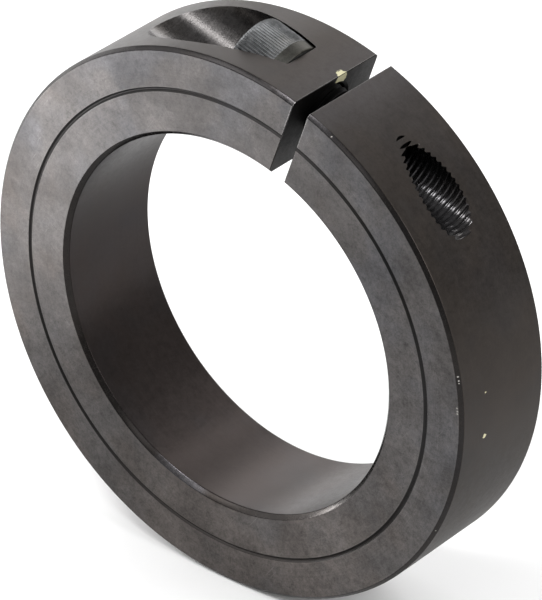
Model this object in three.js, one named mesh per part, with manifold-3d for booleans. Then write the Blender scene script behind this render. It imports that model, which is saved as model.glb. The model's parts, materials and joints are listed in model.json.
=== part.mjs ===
// A one-piece clamp-on shaft collar and its clamp screw, in millimetres.
//
// The collar stands on its edge. The origin is on the bore's axis, midway between the two faces.
// +Y runs along the bore, from the grooved front face to the plain back face, and +Z is up.
// Directions across the bore are given as angles from +Z towards +X.

import * as THREE from "three";
import { mergeVertices } from "three/addons/utils/BufferGeometryUtils.js";
import Module from "manifold-3d";

const INCH = 25.4;

// The ring.
const BORE_DIAMETER = 2.75 * INCH;
const OUTER_DIAMETER = 4 * INCH;
const WIDTH = 0.875 * INCH;
const BORE_CHAMFER = INCH / 32;
const OUTER_CHAMFER = INCH / 40;
const GROOVE_RADIUS = 43.25;
const GROOVE_WIDTH = 0.9;
const GROOVE_DEPTH = 0.35;

// The slit, which is radial and passes through one side of the ring.
const SLIT_WIDTH = INCH / 8;
const SLIT_ANGLE = THREE.MathUtils.degToRad(19.2);

// The screw's axis runs from the head's side of the slit (-X) to the tapped side (+X). It is square to
// the direction SCREW_ANGLE, at SCREW_HEIGHT from the bore's axis. Places along it are measured from
// the foot of that height, positive towards the tapped side.
const SCREW_ANGLE = THREE.MathUtils.degToRad(17);
const SCREW_HEIGHT = 43.8;
const COUNTERBORE_DIAMETER = (19 / 32) * INCH;
const COUNTERBORE_FLOOR = -7;
const CLEARANCE_DIAMETER = (13 / 32) * INCH;

// The clamp screw: a 3/8-24 socket head cap screw. Both threads are plain cylinders here: the screw's
// at the foot of its thread, the hole's halfway up its thread.
const SHANK_DIAMETER = 8.26;
const TAPPED_DIAMETER = 8.9;
const SCREW_LENGTH = 0.875 * INCH;
const TIP_CHAMFER = 0.8;
const HEAD_DIAMETER = (9 / 16) * INCH;
const HEAD_HEIGHT = (3 / 8) * INCH;
const HEAD_CHAMFER = 0.8;
const SOCKET_FLATS = (5 / 16) * INCH;
const SOCKET_DEPTH = 5.2;
const SEAT_GAP = 0.3; // between the head and the counterbore's floor

// Facets round each circle.
const RING_SEGMENTS = 144;
const HOLE_SEGMENTS = 72;
const SCREW_SEGMENTS = 48;

const OVERCUT = 10; // how far a cutter runs past the metal it leaves

const wasm = await Module();
wasm.setup();

// A closed geometry as a solid, for cutting.
function solidFrom(geometry) {
  const bare = geometry.clone();
  bare.deleteAttribute("normal");
  bare.deleteAttribute("uv");
  const merged = mergeVertices(bare);
  return new wasm.Manifold(
    new wasm.Mesh({
      numProp: 3,
      vertProperties: merged.attributes.position.array,
      triVerts: new Uint32Array(merged.index.array),
    }),
  );
}

// A solid as a geometry, for a mesh.
function geometryFrom(solid) {
  const { vertProperties, triVerts } = solid.getMesh();
  const geometry = new THREE.BufferGeometry();
  geometry.setAttribute("position", new THREE.BufferAttribute(vertProperties, 3));
  geometry.setIndex(new THREE.BufferAttribute(triVerts, 1));
  geometry.computeVertexNormals();
  return geometry;
}

// The ring's section, as radius and place along the bore, turned about the bore's axis.
function ringBlank() {
  const bore = BORE_DIAMETER / 2;
  const outer = OUTER_DIAMETER / 2;
  const back = WIDTH / 2;
  const front = -back;
  const section = [
    [bore + BORE_CHAMFER, front],
    [GROOVE_RADIUS - GROOVE_WIDTH / 2, front],
    [GROOVE_RADIUS, front + GROOVE_DEPTH],
    [GROOVE_RADIUS + GROOVE_WIDTH / 2, front],
    [outer - OUTER_CHAMFER, front],
    [outer, front + OUTER_CHAMFER],
    [outer, back - OUTER_CHAMFER],
    [outer - OUTER_CHAMFER, back],
    [bore + BORE_CHAMFER, back],
    [bore, back - BORE_CHAMFER],
    [bore, front + BORE_CHAMFER],
    [bore + BORE_CHAMFER, front],
  ].map(([radius, along]) => new THREE.Vector2(radius, along));
  return new THREE.LatheGeometry(section, RING_SEGMENTS);
}

// A slab from the bore's axis out through one side of the ring.
function slitCutter() {
  const reach = OUTER_DIAMETER / 2 + OVERCUT;
  const slab = new THREE.BoxGeometry(SLIT_WIDTH, WIDTH + OVERCUT, reach);
  return slab.translate(0, 0, reach / 2).rotateY(SLIT_ANGLE);
}

// A round cutter on the screw's axis, between two places along it.
function holeCutter(diameter, from, to) {
  const radius = diameter / 2;
  const drill = new THREE.CylinderGeometry(radius, radius, to - from, HOLE_SEGMENTS);
  drill.rotateZ(-Math.PI / 2);
  drill.translate((from + to) / 2, 0, SCREW_HEIGHT);
  return drill.rotateY(SCREW_ANGLE);
}

// The split ring, with the screw's three holes.
function collarBody() {
  const slitMiddle = SCREW_HEIGHT * Math.tan(SLIT_ANGLE - SCREW_ANGLE);
  const outside = OUTER_DIAMETER / 2 + OVERCUT;
  const cutters = [
    slitCutter(),
    holeCutter(COUNTERBORE_DIAMETER, -outside, COUNTERBORE_FLOOR),
    holeCutter(CLEARANCE_DIAMETER, COUNTERBORE_FLOOR - SEAT_GAP, slitMiddle),
    holeCutter(TAPPED_DIAMETER, slitMiddle, outside),
  ];
  const blackOxide = new THREE.MeshStandardMaterial({
    color: 0x565352,
    roughness: 0.5,
    metalness: 0.85,
    flatShading: true,
  });
  const cut = (solid, cutter) => solid.subtract(solidFrom(cutter));
  const mesh = new THREE.Mesh(
    geometryFrom(cutters.reduce(cut, solidFrom(ringBlank()))),
    blackOxide,
  );
  mesh.name = "collar_body";
  return mesh;
}

// The screw's outline from the head's top to the tip, turned about its axis. Its origin is under the
// head, and the tip points along +Y.
function screwBlank() {
  const head = HEAD_DIAMETER / 2;
  const shank = SHANK_DIAMETER / 2;
  const outline = [
    [0, -HEAD_HEIGHT],
    [head - HEAD_CHAMFER, -HEAD_HEIGHT],
    [head, HEAD_CHAMFER - HEAD_HEIGHT],
    [head, 0],
    [shank, 0],
    [shank, SCREW_LENGTH - TIP_CHAMFER],
    [shank - TIP_CHAMFER, SCREW_LENGTH],
    [0, SCREW_LENGTH],
  ].map(([radius, along]) => new THREE.Vector2(radius, along));
  return new THREE.LatheGeometry(outline, SCREW_SEGMENTS);
}

// A hexagonal cutter for the key's socket, open at the head's top.
function socketCutter() {
  const corner = SOCKET_FLATS / 2 / Math.cos(Math.PI / 6);
  const length = SOCKET_DEPTH + OVERCUT;
  const hexagon = new THREE.CylinderGeometry(corner, corner, length, 6);
  return hexagon.translate(0, SOCKET_DEPTH - HEAD_HEIGHT - length / 2, 0);
}

// The screw, lying along +X.
function clampScrew() {
  const blackOxide = new THREE.MeshStandardMaterial({
    color: 0x6b7072,
    roughness: 0.4,
    metalness: 0.9,
    flatShading: true,
  });
  const solid = solidFrom(screwBlank()).subtract(solidFrom(socketCutter()));
  const mesh = new THREE.Mesh(geometryFrom(solid).rotateZ(-Math.PI / 2), blackOxide);
  mesh.name = "clamp_screw";
  return mesh;
}

const screwLine = new THREE.Group();
screwLine.rotation.y = SCREW_ANGLE;
const screw = clampScrew();
screw.position.set(COUNTERBORE_FLOOR - SEAT_GAP, 0, SCREW_HEIGHT);
screwLine.add(screw);

const shaftCollar = new THREE.Group();
shaftCollar.add(collarBody(), screwLine);

export default shaftCollar;
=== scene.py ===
import json
import math

import bmesh
import bpy
from mathutils import Matrix, Vector


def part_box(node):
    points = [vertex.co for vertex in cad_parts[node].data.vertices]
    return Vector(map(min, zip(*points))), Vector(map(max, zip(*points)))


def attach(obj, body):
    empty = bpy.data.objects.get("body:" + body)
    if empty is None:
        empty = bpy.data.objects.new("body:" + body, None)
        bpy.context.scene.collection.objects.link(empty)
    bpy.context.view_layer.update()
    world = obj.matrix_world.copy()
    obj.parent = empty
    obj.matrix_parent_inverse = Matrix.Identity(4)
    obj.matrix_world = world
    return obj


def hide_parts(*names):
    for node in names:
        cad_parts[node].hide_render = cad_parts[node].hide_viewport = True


# The looks of a one-piece clamp-on shaft collar in black-oxide steel: a split ring and its clamp
# screw. Lengths are in millimetres, except on the stage, and become metres when a mesh or a pattern
# is made. Angles across the bore run from +Z towards +X, as in the CAD model.

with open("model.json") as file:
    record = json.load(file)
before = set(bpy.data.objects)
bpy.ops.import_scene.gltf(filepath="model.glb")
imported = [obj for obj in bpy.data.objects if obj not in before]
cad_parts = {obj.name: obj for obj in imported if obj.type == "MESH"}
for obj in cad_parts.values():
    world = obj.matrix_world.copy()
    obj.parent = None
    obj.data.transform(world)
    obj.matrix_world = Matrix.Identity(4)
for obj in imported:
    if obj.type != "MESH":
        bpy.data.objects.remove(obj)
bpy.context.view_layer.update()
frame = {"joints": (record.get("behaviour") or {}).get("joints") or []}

MM = 0.001
INCH = 25.4
FULL_TURN = 2 * math.pi

# The ring.
BORE = 2.75 * INCH / 2
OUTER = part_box("collar_body")[1].x / MM
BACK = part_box("collar_body")[1].y / MM
FRONT = -BACK
BORE_CHAMFER = INCH / 32
OUTER_CHAMFER = INCH / 40
CORNER = 0.12  # how far its corners are rounded
RING_COLUMNS = 480

# The groove in its front face.
GROOVE_RADIUS = 43.25
GROOVE_HALF = 0.4
GROOVE_BOTTOM_HALF = 0.1
GROOVE_DEPTH = 0.35
GROOVE_CORNER = 0.05

# The slit.
SLIT_ANGLE = math.radians(19.2)
SLIT_HALF = INCH / 16
SLIT_BREAK = 0.12  # the break along its edges

# Radii round the screw's line, and places along it, which are positive towards the tapped side.
COUNTERBORE = 19 / 32 * INCH / 2
COUNTERBORE_FLOOR = -7.0
CLEARANCE = 13 / 32 * INCH / 2
SLIT_MIDDLE = 1.68
SEAT_GAP = 0.3
UNDER_HEAD = COUNTERBORE_FLOOR - SEAT_GAP
HEAD_TOP = UNDER_HEAD - 3 / 8 * INCH
SCREW_TIP = UNDER_HEAD + 7 / 8 * INCH

# The 3/8-24 thread. Where the screw lies, the hole is a plain bore that its crests clear.
PITCH = INCH / 24
THREAD_FORM = ((0, 0), (0.25, 0), (0.5625, 1), (0.6875, 1))  # share of the pitch, share of the depth
SCREW_ROOT = 4.13
SCREW_CREST = 4.72
PLAIN_BORE = 4.85
PLAIN_BORE_END = SCREW_TIP + 0.2
HOLE_CREST = 4.17
HOLE_ROOT = 4.56

# The screw's head.
HEAD = 9 / 16 * INCH / 2
HEAD_RIM = 1.0  # how far its top edge is rounded
BAND = HEAD - 0.06  # the plain band above the seat
KNURL_TEETH = 86
KNURL_DEPTH = 0.19
KNURL_START = HEAD_TOP + 0.08 * HEAD_RIM
KNURL_END = UNDER_HEAD - 2.3
KNURL_RISE = 0.35 * HEAD_RIM  # from its start to its full depth
KNURL_FADE = 0.4  # from its full depth to its end
TOOTH_COLUMNS = 6
SOCKET_CORNER = 5 / 16 * INCH / 2 / math.cos(math.pi / 6)
SOCKET_DEPTH = 5.2


def axes(x, z, origin=(0, 0, 0)):
    """Right-handed axes from their x and z directions, with the origin in millimetres."""
    x, z = Vector(x).normalized(), Vector(z).normalized()
    turn = Matrix((x, z.cross(x), z)).transposed()
    return Matrix.Translation(origin) @ turn.to_4x4()


ALONG_BORE = Vector((0, 1, 0))
RING = axes((0, 0, 1), ALONG_BORE)
SCREW_TURN = frame["joints"][0]
SCREW_DIRECTION = Vector(SCREW_TURN["axis"])
SCREW_LINE = axes(
    SCREW_DIRECTION.cross(ALONG_BORE), SCREW_DIRECTION, Vector(SCREW_TURN["pos_m"]) / MM
)
SLIT_OUT = Vector((math.sin(SLIT_ANGLE), 0, math.cos(SLIT_ANGLE)))
SLIT_ACROSS = Vector((-math.cos(SLIT_ANGLE), 0, math.sin(SLIT_ANGLE)))


# Meshes.


def mesh_object(name, points, faces):
    """An object from points in millimetres and faces, with the faces turned outwards."""
    mesh = bpy.data.meshes.new(name)
    mesh.from_pydata([point * MM for point in points], [], faces)
    tidy = bmesh.new()
    tidy.from_mesh(mesh)
    bmesh.ops.recalc_face_normals(tidy, faces=tidy.faces)
    tidy.to_mesh(mesh)
    tidy.free()
    made = bpy.data.objects.new(name, mesh)
    bpy.context.scene.collection.objects.link(made)
    return made


def eased(outline, steps=3):
    """An outline's points. A corner with a third number is rounded off over that length."""
    corners = [Vector(corner[:2]) for corner in outline]
    points = []
    for i, corner in enumerate(outline):
        here = corners[i]
        if len(corner) == 2:
            points.append(here)
            continue
        towards_last = (corners[i - 1] - here).normalized()
        towards_next = (corners[(i + 1) % len(corners)] - here).normalized()
        start = here + towards_last * corner[2]
        end = here + towards_next * corner[2]
        for step in range(steps + 1):
            t = step / steps
            points.append(start * (1 - t) ** 2 + here * 2 * t * (1 - t) + end * t**2)
    return points


def turned(name, outline, columns, place, shape=None):
    """A solid of revolution about the z axis of the given axes, from (radius, along) points.

    The outline is a closed loop, or starts and ends on the axis. shape may change the radius.
    """
    closed = outline[0][0] > 0
    rows = outline if closed else outline[1:-1]
    points, faces = [], []
    for radius, along in rows:
        for column in range(columns):
            turn = FULL_TURN * column / columns
            reach = shape(radius, along, turn) if shape else radius
            points.append(place @ Vector((reach * math.cos(turn), reach * math.sin(turn), along)))
    for row in range(len(rows) if closed else len(rows) - 1):
        this = row * columns
        following = (row + 1) % len(rows) * columns
        for column in range(columns):
            beside = (column + 1) % columns
            faces.append((this + column, this + beside, following + beside, following + column))
    if not closed:
        for along, row in ((outline[0][1], 0), (outline[-1][1], len(rows) - 1)):
            points.append(place @ Vector((0, 0, along)))
            rim = [row * columns + column for column in range(columns)]
            faces += [(len(points) - 1, rim[i - 1], rim[i]) for i in range(columns)]
    return mesh_object(name, points, faces)


def threaded(name, low, high, start, turns, place):
    """A right-hand threaded rod on the z axis of the given axes, with a whole number of turns."""
    columns = 96
    steps = len(THREAD_FORM)
    rows = steps * turns + 1
    points, faces = [], []
    for row in range(rows):
        whole, part = divmod(row, steps)
        share, height = THREAD_FORM[part]
        radius = low + (high - low) * height
        for column in range(columns):
            turn = FULL_TURN * column / columns
            along = start + PITCH * (whole + share + column / columns)
            points.append(place @ Vector((radius * math.cos(turn), radius * math.sin(turn), along)))

    def at(row, column):
        """The point's number. One turn further on is the same place as one pitch further along."""
        return (row + column // columns * steps) * columns + column % columns

    for column in range(columns):
        last = rows - 1 - (steps if column == columns - 1 else 0)
        for row in range(last):
            corners = ((row, column), (row, column + 1), (row + 1, column + 1), (row + 1, column))
            faces.append([at(*corner) for corner in corners])
    top, end = rows - 1, columns - 1
    first_rim = [at(0, column) for column in range(columns)]
    first_rim += [at(row, 0) for row in range(steps, 0, -1)]
    last_rim = [at(top, column) for column in range(columns)]
    last_rim += [at(row, end) for row in range(top - 1, top - steps - 1, -1)]
    for rim, along in ((first_rim, 0.5), (last_rim, turns + 0.5)):
        points.append(place @ Vector((0, 0, start + PITCH * along)))
        faces += [(len(points) - 1, rim[i - 1], rim[i]) for i in range(len(rim))]
    return mesh_object(name, points, faces)


def prism(name, outline, start, end, place):
    """An outline in the x and y of the given axes, drawn out along their z."""
    count = len(outline)
    points = [place @ Vector((x, y, along)) for along in (start, end) for x, y in outline]
    faces = [tuple(range(count)), tuple(range(count, 2 * count))]
    for i in range(count):
        j = (i + 1) % count
        faces.append((i, j, count + j, count + i))
    return mesh_object(name, points, faces)


def evaluated(piece):
    """The piece's mesh with its modifiers applied."""
    graph = bpy.context.evaluated_depsgraph_get()
    return bpy.data.meshes.new_from_object(piece.evaluated_get(graph))


def combine(piece, other, operation="DIFFERENCE"):
    """Cuts the other solid from the piece, or joins or keeps what they share, and removes the other."""
    boolean = piece.modifiers.new("boolean", "BOOLEAN")
    boolean.operation = operation
    boolean.solver = "MANIFOLD"
    boolean.object = other
    mesh = evaluated(piece)
    piece.modifiers.clear()
    piece.data = mesh
    bpy.data.objects.remove(other)


def shade(piece, crease):
    """Smooth shading that breaks at edges sharper than the crease, in degrees, and keeps flats flat."""
    tidy = bmesh.new()
    tidy.from_mesh(piece.data)
    bmesh.ops.remove_doubles(tidy, verts=tidy.verts, dist=0.002 * MM)
    bmesh.ops.dissolve_degenerate(tidy, edges=tidy.edges, dist=0.001 * MM)
    tidy.to_mesh(piece.data)
    tidy.free()
    piece.data.shade_smooth()
    piece.data.set_sharp_from_angle(angle=math.radians(crease))
    weighted = piece.modifiers.new("normals", "WEIGHTED_NORMAL")
    weighted.keep_sharp = True
    piece.data = evaluated(piece)
    piece.modifiers.clear()


def finish(piece, finishes, zone_of):
    """Gives each face of the piece the finish of its zone."""
    piece.data.materials.clear()
    for material in finishes.values():
        piece.data.materials.append(material)
    order = list(finishes)
    for face in piece.data.polygons:
        face.material_index = order.index(zone_of(face.center / MM, face.normal))


# The split ring.


def ring_blank():
    """The whole ring: flat faces, chamfered edges and the groove in the front face."""
    outline = [
        (BORE + BORE_CHAMFER, FRONT, CORNER),
        (GROOVE_RADIUS - GROOVE_HALF, FRONT, GROOVE_CORNER),
        (GROOVE_RADIUS - GROOVE_BOTTOM_HALF, FRONT + GROOVE_DEPTH, GROOVE_CORNER),
        (GROOVE_RADIUS + GROOVE_BOTTOM_HALF, FRONT + GROOVE_DEPTH, GROOVE_CORNER),
        (GROOVE_RADIUS + GROOVE_HALF, FRONT, GROOVE_CORNER),
        (OUTER - OUTER_CHAMFER, FRONT, CORNER),
        (OUTER, FRONT + OUTER_CHAMFER, CORNER),
        (OUTER, BACK - OUTER_CHAMFER, CORNER),
        (OUTER - OUTER_CHAMFER, BACK, CORNER),
        (BORE + BORE_CHAMFER, BACK, CORNER),
        (BORE, BACK - BORE_CHAMFER, CORNER),
        (BORE, FRONT + BORE_CHAMFER, CORNER),
    ]
    return turned("split_ring", eased(outline), RING_COLUMNS, RING)


def slit_cutters():
    """Two slabs: one breaks the slit's edges on the bore and the outside, the other on the faces."""
    flare = 1.0
    wide = SLIT_HALF + SLIT_BREAK + flare
    inside = 0.7 * BORE
    outside = 1.2 * OUTER
    sections = (
        (axes(SLIT_ACROSS, ALONG_BORE), BORE, OUTER, 2 * FRONT, 2 * BACK),
        (axes(SLIT_ACROSS, SLIT_OUT), FRONT, BACK, inside, outside),
    )
    for place, low, high, start, end in sections:
        side = [
            (wide, low - flare),
            (SLIT_HALF, low + SLIT_BREAK),
            (SLIT_HALF, high - SLIT_BREAK),
            (wide, high + flare),
        ]
        yield prism("slit", side + [(-x, y) for x, y in reversed(side)], start, end, place)


def counterbore_cutter():
    """The pocket that the screw's head sits in."""
    outside = -1.3 * OUTER
    floor_corner = 0.35
    outline = [
        (0, outside),
        (COUNTERBORE, outside),
        (COUNTERBORE, COUNTERBORE_FLOOR, floor_corner),
        (0, COUNTERBORE_FLOOR),
    ]
    return turned("counterbore", eased(outline), 192, SCREW_LINE)


def screw_hole_cutter():
    """The hole that the screw's shank passes through, with its edges broken."""
    edge = 0.3
    flare = 1.0
    near_wall = SLIT_MIDDLE - SLIT_HALF
    far_wall = SLIT_MIDDLE + SLIT_HALF
    outline = [
        (0, COUNTERBORE_FLOOR - flare),
        (CLEARANCE + edge + flare, COUNTERBORE_FLOOR - flare),
        (CLEARANCE, COUNTERBORE_FLOOR + edge),
        (CLEARANCE, near_wall - edge),
        (CLEARANCE + flare, near_wall - edge + flare),
        (PLAIN_BORE + flare, far_wall + edge - flare),
        (PLAIN_BORE, far_wall + edge),
        (PLAIN_BORE, PLAIN_BORE_END),
        (0, PLAIN_BORE_END),
    ]
    return turned("screw_hole", outline, 144, SCREW_LINE)


def tapped_hole_cutter():
    """The threaded hole beyond the screw's tip, which breaks out of the ring's outside."""
    start = PLAIN_BORE_END - 1.5 * PITCH
    turns = 19
    return threaded("tapped_hole", HOLE_CREST, HOLE_ROOT, start, turns, SCREW_LINE)


def ring_zone(middle, normal):
    """Which of the ring's finishes a face has, from its middle in millimetres and its normal."""
    slack = 0.1
    thin = 0.02
    facing = 0.9
    radius = math.hypot(middle.x, middle.z)
    outwards = (normal.x * middle.x + normal.z * middle.z) / radius
    if radius > OUTER - slack and outwards > facing:
        return "outside"
    if radius < BORE + slack and outwards < -facing:
        return "bore"
    from_slit = abs(middle.dot(SLIT_ACROSS))
    if abs(normal.dot(SLIT_ACROSS)) > facing and from_slit < SLIT_HALF + slack:
        return "slit"
    local = SCREW_LINE.inverted() @ middle
    if local.z < COUNTERBORE_FLOOR + slack and math.hypot(local.x, local.y) < COUNTERBORE + thin:
        return "counterbore"
    inwards = BACK - abs(middle.y)
    if abs(normal.y) > 0.98:
        return "face" if inwards < thin else "groove"
    from_groove = abs(radius - GROOVE_RADIUS)
    if inwards < 1 and abs(normal.y) > 0.5 and from_groove > 1:
        return "chamfer"
    if inwards < 0.5 and from_groove < 0.6:
        return "groove"
    return "thread" if local.z > PLAIN_BORE_END - 0.01 else "hole"


def split_ring():
    """The one-piece ring, slit and drilled for the screw."""
    ring = ring_blank()
    for cutter in slit_cutters():
        combine(ring, cutter)
    combine(ring, counterbore_cutter())
    combine(ring, screw_hole_cutter())
    combine(ring, tapped_hole_cutter())
    shade(ring, 32)
    finish(ring, ring_finishes(), ring_zone)
    return ring


# The clamp screw.


def knurl(radius, along, turn):
    """The head's radius with its straight knurl, which fades out at the rim and before the seat."""
    share = max(0, min(1, (along - KNURL_START) / KNURL_RISE, (KNURL_END - along) / KNURL_FADE))
    tooth = abs((turn / FULL_TURN * KNURL_TEETH) % 1 - 0.5) * 2
    steepness = 1.2
    return radius - KNURL_DEPTH * share * min(1, steepness * (1 - tooth))


def screw_head():
    """The knurled head, with a plain band above its seat."""
    knurled = HEAD - 0.01
    outline = [
        (0, HEAD_TOP),
        (0.7 * HEAD, HEAD_TOP),
        (knurled, HEAD_TOP, HEAD_RIM),
        (knurled, HEAD_TOP + 1.05 * HEAD_RIM),
        (knurled, KNURL_END - KNURL_FADE),
        (knurled, KNURL_END),
        (BAND, KNURL_END + 0.08),
        (BAND, UNDER_HEAD, 0.35),
        (0.5 * HEAD, UNDER_HEAD),
        (0, UNDER_HEAD + 1),
    ]
    columns = KNURL_TEETH * TOOTH_COLUMNS
    return turned("cap_screw", eased(outline, 5), columns, SCREW_LINE, knurl)


def shank_outline():
    """What is kept of the threaded rod: a neck under the head, and a chamfered tip."""
    neck = SCREW_ROOT + 0.1
    neck_end = UNDER_HEAD + 1.2
    clear = SCREW_CREST + 0.3
    tip = SCREW_ROOT - 0.5
    return [
        (0, UNDER_HEAD - 1),
        (neck, UNDER_HEAD - 1),
        (neck, neck_end),
        (clear, neck_end + 0.7),
        (clear, SCREW_TIP - (clear - tip)),
        (tip, SCREW_TIP),
        (0, SCREW_TIP),
    ]


def socket_cutters():
    """The hexagonal socket with its drilled bottom, and the chamfer at its mouth."""
    past = HEAD_TOP - 5
    bottom = HEAD_TOP + SOCKET_DEPTH
    drill_point = bottom + 1.3
    hexagon = [(0, past), (SOCKET_CORNER, past), (SOCKET_CORNER, bottom), (0, drill_point)]
    yield turned("socket", hexagon, 6, SCREW_LINE)
    mouth = SOCKET_CORNER + 0.15
    high, low = HEAD_TOP - 1, HEAD_TOP + 1
    cone = [(0, high), (mouth + 1, high), (mouth - 1, low), (0, low)]
    yield turned("socket_mouth", cone, 96, SCREW_LINE)


def screw_zone(middle, _normal):
    """Which of the screw's finishes a face has, from its middle in millimetres."""
    local = SCREW_LINE.inverted() @ middle
    if local.z > UNDER_HEAD + 0.05:
        return "thread"
    return "band" if local.z > KNURL_END and local.xy.length > 0.9 * HEAD else "head"


def cap_screw():
    """The socket head cap screw, seated in the counterbore."""
    screw = screw_head()
    turns = round((SCREW_TIP - UNDER_HEAD) / PITCH) + 3
    rod = threaded("shank", SCREW_ROOT, SCREW_CREST, UNDER_HEAD - 2 * PITCH, turns, SCREW_LINE)
    combine(rod, turned("kept", shank_outline(), 96, SCREW_LINE), "INTERSECT")
    combine(screw, rod, "UNION")
    for cutter in socket_cutters():
        combine(screw, cutter)
    shade(screw, 28)
    finish(screw, screw_finishes(), screw_zone)
    return screw


# Materials. Every pattern is placed by the piece's own coordinates.


def node(tree, kind, inputs, **settings):
    """A shader node, with each input set to a value or linked to another node's output."""
    made = tree.nodes.new("ShaderNode" + kind)
    for name, value in settings.items():
        setattr(made, name, value)
    for key, value in inputs.items():
        if isinstance(value, bpy.types.NodeSocket):
            tree.links.new(value, made.inputs[key])
        else:
            made.inputs[key].default_value = value
    return made


def noise(tree, place, size, detail, roughness=0.55):
    """Noise from 0 to 1 whose patches are about this size in millimetres."""
    inputs = {"Vector": place, "Scale": 1 / (size * MM), "Detail": detail, "Roughness": roughness}
    return node(tree, "TexNoise", inputs).outputs["Fac"]


def lines(tree, length, spacing):
    """Noise from 0 to 1 that varies only with one length, as the marks of a cutting tool do."""
    inputs = {"W": length, "Scale": 1 / (spacing * MM), "Detail": 4.0, "Roughness": 0.7}
    return node(tree, "TexNoise", inputs, noise_dimensions="1D").outputs["Fac"]


def between(tree, value, low, high, start=0.0, end=1.0):
    """Where a value lies between low and high, eased, as a number from start to end."""
    inputs = {"Value": value, "From Min": low, "From Max": high, "To Min": start, "To Max": end}
    made = node(tree, "MapRange", inputs, interpolation_type="SMOOTHSTEP")
    return made.outputs["Result"]


def calculate(tree, operation, a, b):
    """One arithmetic step."""
    return node(tree, "Math", {0: a, 1: b}, operation=operation).outputs[0]


def blend(tree, share, a, b):
    """A colour mixed from two."""
    made = node(tree, "Mix", {0: share, 6: a, 7: b}, data_type="RGBA")
    return made.outputs[2]


def colour(red, green, blue):
    """A linear colour with full opacity."""
    return (red, green, blue, 1.0)


BARE_STEEL = colour(0.42, 0.41, 0.40)
NICKED_STEEL = colour(0.3, 0.29, 0.27)
# A lighter oxide colour: scuffed oxide beside the slit, and also a painted highlight there and on the
# bore's front chamfer.
THIN_OXIDE_AND_HIGHLIGHT = colour(0.060, 0.057, 0.060)
DRIED_GREASE = colour(0.50, 0.47, 0.30)
METALLIC = 0.9


def scaled(tree, base, factor):
    """A colour made lighter or darker."""
    return node(tree, "VectorMath", {0: base, "Scale": factor}, operation="SCALE").outputs[0]


def edge_wear(tree, radius):
    """How far the surface turns within this many millimetres, from 0 on flats to 1 on edges."""
    soft = node(tree, "Bevel", {"Radius": radius * MM}, samples=6).outputs["Normal"]
    true = node(tree, "NewGeometry", {}).outputs["Normal"]
    agree = node(tree, "VectorMath", {0: soft, 1: true}, operation="DOT_PRODUCT")
    return between(tree, agree.outputs["Value"], 0.995, 0.93)


def spots(tree, place, wanted, ragged):
    """1 inside small spots and 0 outside. Each one wanted is its centre and radius in millimetres."""
    wobble = calculate(tree, "MULTIPLY", noise(tree, place, 0.45, 2), ragged * MM)
    found = None
    for centre, radius in wanted:
        apart = node(tree, "VectorMath", {0: place, 1: centre * MM}, operation="DISTANCE")
        reach = calculate(tree, "ADD", apart.outputs["Value"], wobble)
        low, high = (radius + 0.4 * ragged) * MM, (radius + 0.6 * ragged) * MM
        spot = between(tree, reach, high, low)
        found = calculate(tree, "MAXIMUM", found, spot) if found else spot
    return found


def scratches(tree, place, angle):
    """Sparse straight scratches over the ring's face, from 0 to 1. The angle is in degrees."""
    across, length = 0.13 * MM, 7 * MM
    inputs = {"Vector": place, "Rotation": (0, math.radians(angle), 0), "Scale": (across, 1, length)}
    stretched = node(tree, "Mapping", inputs, vector_type="TEXTURE").outputs[0]
    streak = node(tree, "TexNoise", {"Vector": stretched, "Scale": 1.0, "Detail": 1.0})
    strongest = between(tree, streak.outputs["Fac"], 0.69, 0.75)
    sparse = between(tree, noise(tree, place, 9, 2), 0.45, 0.6)
    return calculate(tree, "MULTIPLY", strongest, sparse)


def flattened(tree, place):
    """A place moved along the bore to the middle of the ring."""
    return node(tree, "VectorMath", {0: place, 1: (1, 0, 1)}, operation="MULTIPLY").outputs[0]


def near(tree, place, centre, close, far):
    """1 closer to the centre than close, falling to 0 at far. All three are in millimetres."""
    apart = node(tree, "VectorMath", {0: place, 1: centre * MM}, operation="DISTANCE")
    return between(tree, apart.outputs["Value"], far * MM, close * MM)


def marked_length(tree, place, across):
    """The length that tool marks vary with: the radius, or the place along the bore or the screw."""
    if across == "radius":
        flat = flattened(tree, place)
        return node(tree, "VectorMath", {0: flat}, operation="LENGTH").outputs["Value"]
    direction_of = {"bore": ALONG_BORE, "screw": SCREW_DIRECTION}[across]
    made = node(tree, "VectorMath", {0: place, 1: direction_of}, operation="DOT_PRODUCT")
    return made.outputs["Value"]


def drifting(tree, place, shades):
    """The usual shade, with warmer and cooler patches. Towards the lower left, more are warm."""
    usual, warm, cool = shades
    elsewhere = node(tree, "VectorMath", {0: place, 1: (0.31, 0.17, 0.23)}, operation="ADD")
    upper_right = node(tree, "VectorMath", {0: place, 1: (0.4, 0, 0.9)}, operation="DOT_PRODUCT")
    slope = between(tree, upper_right.outputs["Value"], -OUTER * MM, OUTER * MM, 0.16, -0.14)
    drift = calculate(tree, "ADD", noise(tree, elsewhere.outputs[0], 13, 3, 0.55), slope)
    base = blend(tree, between(tree, drift, 0.5, 0.72), usual, warm)
    return blend(tree, between(tree, drift, 0.5, 0.28), base, cool)


def mottled(tree, place, base, speckle, contrast):
    """A colour made uneven by a speckle and by faint clouds."""
    light = calculate(tree, "ADD", calculate(tree, "MULTIPLY", speckle, contrast), 1 - contrast / 2)
    clouds = noise(tree, place, 9, 3, 0.6)
    faint = contrast / 12
    cloudy = between(tree, clouds, 0.25, 0.75, 1 - faint, 1 + faint)
    return scaled(tree, base, calculate(tree, "MULTIPLY", light, cloudy))


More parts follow.
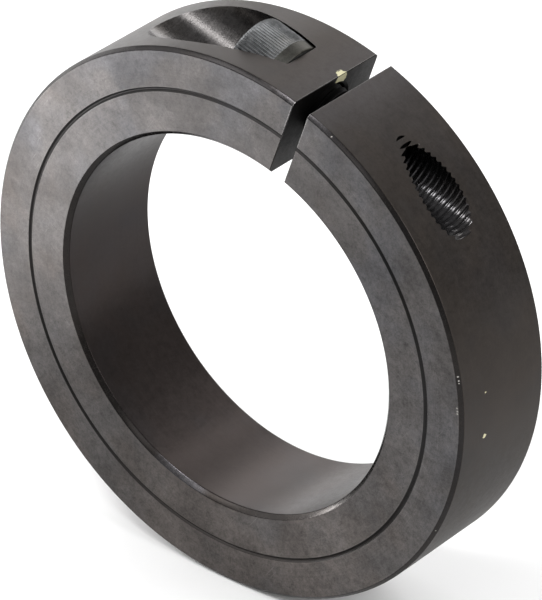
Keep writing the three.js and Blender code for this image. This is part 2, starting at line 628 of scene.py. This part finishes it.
def worn_and_highlit(tree, place, base, speckle, line=0.0, nicks=0.0, scratched=0.0, rubbed_and_sheen=None, painted_highlight_arc=None,
         bright=()):
    """The oxide's colour where it is chipped and scuffed, and where highlights are painted on it.

    line is how light its edges are, nicks how many bright nicks they have, and scratched how bright its
    scratches are. rubbed_and_sheen is how much lighter the flats and the edges are beside the slit:
    partly scuffed oxide, partly a painted highlight. painted_highlight_arc is a place lightened as a
    painted highlight, with how far from it that starts to fade and where it ends. bright are spots of
    nearly bare metal.
    """
    uneven = between(tree, speckle, 0.3, 0.7, 0.5, 1.5)
    # Beside the slit the flats and edges are lightened: partly scuffed oxide, partly a painted
    # highlight.
    if rubbed_and_sheen:
        on_flats, on_edges = rubbed_and_sheen
        beside = near(tree, flattened(tree, place), SLIT_OUT * OUTER, SLIT_HALF, 11)
        patchy = calculate(tree, "MULTIPLY", beside, uneven)
        base = blend(tree, calculate(tree, "MULTIPLY", patchy, on_flats), base, THIN_OXIDE_AND_HIGHLIGHT)
        line = calculate(tree, "ADD", line, calculate(tree, "MULTIPLY", patchy, on_edges))
    # Around one place the oxide is lightened: a painted highlight.
    if painted_highlight_arc:
        share = calculate(tree, "MULTIPLY", near(tree, place, *painted_highlight_arc), uneven)
        base = blend(tree, share, base, THIN_OXIDE_AND_HIGHLIGHT)
    if line or nicks:
        edge = edge_wear(tree, 0.28)
        base = blend(tree, calculate(tree, "MULTIPLY", edge, line), base, BARE_STEEL)
        least = 0.72 - 0.2 * nicks
        chipped = between(tree, noise(tree, place, 1.1, 3, 0.7), least, least + 0.06)
        base = blend(tree, calculate(tree, "MULTIPLY", edge, chipped), base, BARE_STEEL)
    if scratched:
        for angle in (35, -50):
            share = calculate(tree, "MULTIPLY", scratches(tree, place, angle), scratched)
            base = blend(tree, share, base, BARE_STEEL)
    if bright:
        base = blend(tree, spots(tree, place, bright, 0.5), base, NICKED_STEEL)
    return base


def oxide(name, shades, rough, mottle=1.0, marks=None, grain=0.5, wear_and_sheen=None, residue=(), brushed=0.0):
    """Black-oxide steel.

    shades are its usual, warmer and cooler colours, and rough is its lowest and highest roughness.
    mottle and grain are the contrast and the height of its speckle. marks are those of a cutting tool:
    which length they vary with, their spacing and their depth. wear_and_sheen is what
    worn_and_highlit() is told. residue are spots of dried grease. brushed is how far the tool marks
    stretch the reflections.
    """
    material = bpy.data.materials.new(name)
    material.use_nodes = True
    tree = material.node_tree
    tree.nodes.clear()
    place = node(tree, "TexCoord", {}).outputs["Object"]

    speckle = noise(tree, place, 1.3, 5, 0.95)
    base = mottled(tree, place, drifting(tree, place, shades), speckle, mottle)
    height = calculate(tree, "MULTIPLY", speckle, grain)
    roughness = between(tree, speckle, 0.3, 0.7, *rough)
    if marks:
        across, spacing, depth = marks
        tool = lines(tree, marked_length(tree, place, across), spacing)
        height = calculate(tree, "ADD", height, calculate(tree, "MULTIPLY", tool, depth))
        base = scaled(tree, base, between(tree, tool, 0.3, 0.7, 1 - depth / 4, 1 + depth / 4))
    if wear_and_sheen:
        base = worn_and_highlit(tree, place, base, speckle, **wear_and_sheen)
    metallic = METALLIC
    if residue:
        dried = spots(tree, place, residue, 0.6)
        base = blend(tree, dried, base, DRIED_GREASE)
        metallic = calculate(tree, "MULTIPLY", calculate(tree, "SUBTRACT", 1.0, dried), METALLIC)
        roughness = calculate(tree, "MAXIMUM", roughness, calculate(tree, "MULTIPLY", dried, 0.8))

    bump = node(tree, "Bump", {"Strength": 1.0, "Distance": 0.02 * MM, "Height": height})
    inputs = {
        "Base Color": base,
        "Metallic": metallic,
        "Roughness": roughness,
        "Specular Tint": colour(0.75, 0.75, 0.75),
        "Anisotropic": brushed,
        "Normal": bump.outputs["Normal"],
    }
    if brushed:
        inputs["Anisotropic Rotation"] = 0.25
        tangent = node(tree, "Tangent", {}, direction_type="RADIAL", axis="Y")
        inputs["Tangent"] = tangent.outputs["Tangent"]
    shader = node(tree, "BsdfPrincipled", inputs)
    node(tree, "OutputMaterial", {"Surface": shader.outputs["BSDF"]})
    return material


def on_ring(radius, along_bore, angle):
    """A place on the ring, from its angle in degrees."""
    turn = math.radians(angle)
    return Vector((radius * math.sin(turn), along_bore, radius * math.cos(turn)))


def shades_of(grey, red=1.07, blue=0.98):
    """A usual colour, with one a little warmer and one a little cooler."""
    usual = Vector((red, 1, blue)) * grey
    return [colour(*(usual * Vector(cast))) for cast in ((1, 1, 1), (1.05, 1, 0.96), (0.96, 1, 1.06))]


def ring_nicks():
    """Spots where the metal shows: on the outside's front chamfer, and on the face just inside it."""
    inset = 0.5 * OUTER_CHAMFER
    angles_and_sizes = ((27, 0.1), (78.7, 0.14), (79.6, 0.12), (80.1, 0.1), (115.5, 0.08))
    on_chamfer = [
        (on_ring(OUTER - inset, FRONT + inset, angle), size) for angle, size in angles_and_sizes
    ]
    on_face = [(on_ring(OUTER - 0.95, FRONT, angle), 0.15) for angle in (85.4, 86, 86.6)]
    return on_chamfer, on_face


def dried_grease():
    """A dab on the slit's outer edge, and two flecks on the outside."""
    slit_edge = SLIT_OUT * (OUTER - 1.0) + SLIT_ACROSS * SLIT_HALF
    dab = (slit_edge + 1.6 * ALONG_BORE, 1.4)
    flecks = [(on_ring(OUTER, -4.75, 85), 0.2), (on_ring(OUTER, -4.75, 94.5), 0.4)]
    return dab, flecks


def ring_finishes():
    """The ring's finishes: turned faces, outside and bore, and the surfaces cut last."""
    chamfer_nicks, face_nicks = ring_nicks()
    dab, flecks = dried_grease()
    inset = 0.5 * BORE_CHAMFER
    # A lighter arc on the bore's front chamfer at the lower left: a painted highlight.
    painted_highlight_arc = (on_ring(BORE + inset, FRONT + inset, 196.5), 3.0, 7.0)
    return {
        "face": oxide(
            "turned_face", shades_of(0.074), (0.40, 0.52), mottle=2.6, marks=("radius", 0.35, 0.2),
            wear_and_sheen=dict(line=0.1, nicks=0.3, scratched=0.15, rubbed_and_sheen=(0.0, 0.9), bright=face_nicks),
            brushed=0.8,
        ),
        "outside": oxide(
            "turned_outside", shades_of(0.0305, 1.19, 0.88), (0.38, 0.48), mottle=1.2, grain=0.3,
            marks=("bore", 0.6, 0.1), wear_and_sheen=dict(nicks=0.2, rubbed_and_sheen=(0.35, 0.3)),
            residue=[*flecks, dab],
        ),
        "bore": oxide(
            "bored_inside", shades_of(0.0265, 1.19, 0.97), (0.28, 0.38), mottle=0.7, grain=0.12,
            marks=("bore", 0.5, 0.12),
        ),
        # The chamfers share the faces' turned finish but are coloured far darker: painted shade.
        "chamfer": oxide(
            "chamfer_with_painted_shade", shades_of(0.0185, 1.12, 0.95), (0.20, 0.30), grain=0.15,
            wear_and_sheen=dict(nicks=0.3, rubbed_and_sheen=(0.5, 0.2), painted_highlight_arc=painted_highlight_arc, bright=chamfer_nicks),
        ),
        # The groove is coloured far darker than the face around it: painted shade in the recess.
        "groove": oxide("groove_with_painted_shade", shades_of(0.018), (0.34, 0.46)),
        # The slit's walls are coloured nearly black: painted shade between the jaws. The dab on them is
        # dried grease.
        "slit": oxide(
            "sawn_slit_with_painted_shade", shades_of(0.016), (0.40, 0.55), marks=("bore", 0.4, 0.3), residue=[dab]
        ),
        "counterbore": oxide(
            "drilled_pocket", shades_of(0.064, 1.10, 0.93), (0.22, 0.34), mottle=2.0, grain=0.6,
            marks=("screw", 0.3, 0.6),
        ),
        "thread": oxide("cut_thread", shades_of(0.044), (0.20, 0.30), grain=0.3),
        # The screw's hole is coloured nearly black: painted shade inside it.
        "hole": oxide("drilled_hole_with_painted_shade", shades_of(0.010), (0.5, 0.6), grain=0.3),
    }


def screw_finishes():
    """The screw's own oxide: grey on the knurled head, browner below it, and nearly black on the thread
    as painted shade.
    """
    return {
        "head": oxide(
            "screw_head", shades_of(0.128, 1.02, 0.97), (0.44, 0.58), mottle=3.4, grain=1.0,
            wear_and_sheen=dict(nicks=0.3),
        ),
        "band": oxide("screw_band", shades_of(0.045, 1.06, 0.86), (0.50, 0.62), mottle=3.0, grain=0.8),
        # Nearly black: painted shade on the thread inside the ring.
        "thread": oxide("screw_thread_with_painted_shade", shades_of(0.008), (0.5, 0.65), grain=0.4),
    }


def floor_finish():
    """A plain pale floor."""
    material = bpy.data.materials.new("pale_floor")
    material.use_nodes = True
    shader = material.node_tree.nodes["Principled BSDF"]
    shader.inputs["Base Color"].default_value = colour(0.86, 0.86, 0.86)
    shader.inputs["Roughness"].default_value = 0.9
    shader.inputs["Specular IOR Level"].default_value = 0.1
    return material


# The stage.


def floor():
    """A wide disc that the ring stands on."""
    disc = bmesh.new()
    bmesh.ops.create_circle(disc, cap_ends=True, radius=6, segments=96)
    mesh = bpy.data.meshes.new("floor")
    disc.to_mesh(mesh)
    disc.free()
    made = bpy.data.objects.new("floor", mesh)
    made.location.z = -OUTER * MM
    made.data.materials.append(floor_finish())
    bpy.context.scene.collection.objects.link(made)


def direction(azimuth, elevation):
    """The direction from the ring towards a place round it, from angles in degrees.

    Azimuth 0 is in front of the ring and -90 at its left.
    """
    round_it, up = math.radians(azimuth), math.radians(elevation)
    return Vector(
        (
            math.sin(round_it) * math.cos(up),
            -math.cos(round_it) * math.cos(up),
            math.sin(up),
        )
    )


def softbox(name, azimuth, elevation, distance, size, power):
    """A soft rectangular light in metres and watts, aimed at the ring and not seen by the camera."""
    light = bpy.data.lights.new(name, "AREA")
    light.shape = "RECTANGLE"
    light.size, light.size_y = size
    light.energy = power
    made = bpy.data.objects.new(name, light)
    made.location = direction(azimuth, elevation) * distance
    made.rotation_mode = "QUATERNION"
    made.rotation_quaternion = made.location.to_track_quat("Z", "Y")
    made.visible_camera = False
    bpy.context.scene.collection.objects.link(made)
    return made


def studio():
    """A pale surround, and soft lights: most at the left and back, two of them close to the ring."""
    world = bpy.data.worlds.new("surround")
    world.use_nodes = True
    background = world.node_tree.nodes["Background"]
    background.inputs["Color"].default_value = colour(1, 1, 1)
    background.inputs["Strength"].default_value = 0.457
    bpy.context.scene.world = world
    softbox("high_back_light", -173, 47, 1.0, (0.12, 0.12), 0.3)
    softbox("back_light", -180, 25, 1.0, (0.5, 0.5), 3.7)
    softbox("back_left_light", -150, 25, 1.0, (0.5, 0.5), 3.6)
    softbox("low_back_left_light", -120, 8, 1.0, (0.5, 0.5), 2.7)
    softbox("low_left_light", -90, 8, 1.0, (0.5, 0.5), 3.2)
    softbox("left_light", -60, 25, 1.0, (0.5, 0.5), 1.8)
    softbox("high_left_light", -42, 43, 1.0, (0.4, 0.2), 1.7)
    softbox("high_front_light", -13, 62, 1.0, (0.2, 0.2), 3.6)
    softbox("front_right_light", 16, 40, 1.0, (0.27, 0.27), 0.6)
    softbox("right_light", 90, 30, 1.0, (0.5, 0.5), 5.5)
    softbox("near_left_strip", -74, -4.7, 0.365, (0.15, 0.03), 0.52)
    # A lit card that lies just above the floor, facing up.
    card = softbox("front_left_card", -50, -14, 0.2, (0.15, 0.15), 0.36)
    card.rotation_quaternion = Vector((0, 0, -1)).to_track_quat("Z", "Y")
    bpy.context.scene.view_settings.view_transform = "Standard"


def camera():
    """The view from the right and above, through a long lens."""
    back = direction(39.51, 31.17)
    distance = 0.8885
    lens = bpy.data.cameras.new("camera")
    lens.lens = 314.6
    lens.sensor_width = 36
    lens.shift_x = 0.0105
    lens.shift_y = 0.0029
    lens.clip_start = 0.01
    made = bpy.data.objects.new("camera", lens)
    made.location = back * distance
    made.rotation_mode = "QUATERNION"
    made.rotation_quaternion = (-back).to_track_quat("-Z", "Y")
    bpy.context.scene.collection.objects.link(made)
    bpy.context.scene.camera = made


camera()
floor()
studio()

ring = split_ring()
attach(ring, "collar")
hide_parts("collar_body")

screw = cap_screw()
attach(screw, "screw")
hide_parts("clamp_screw")
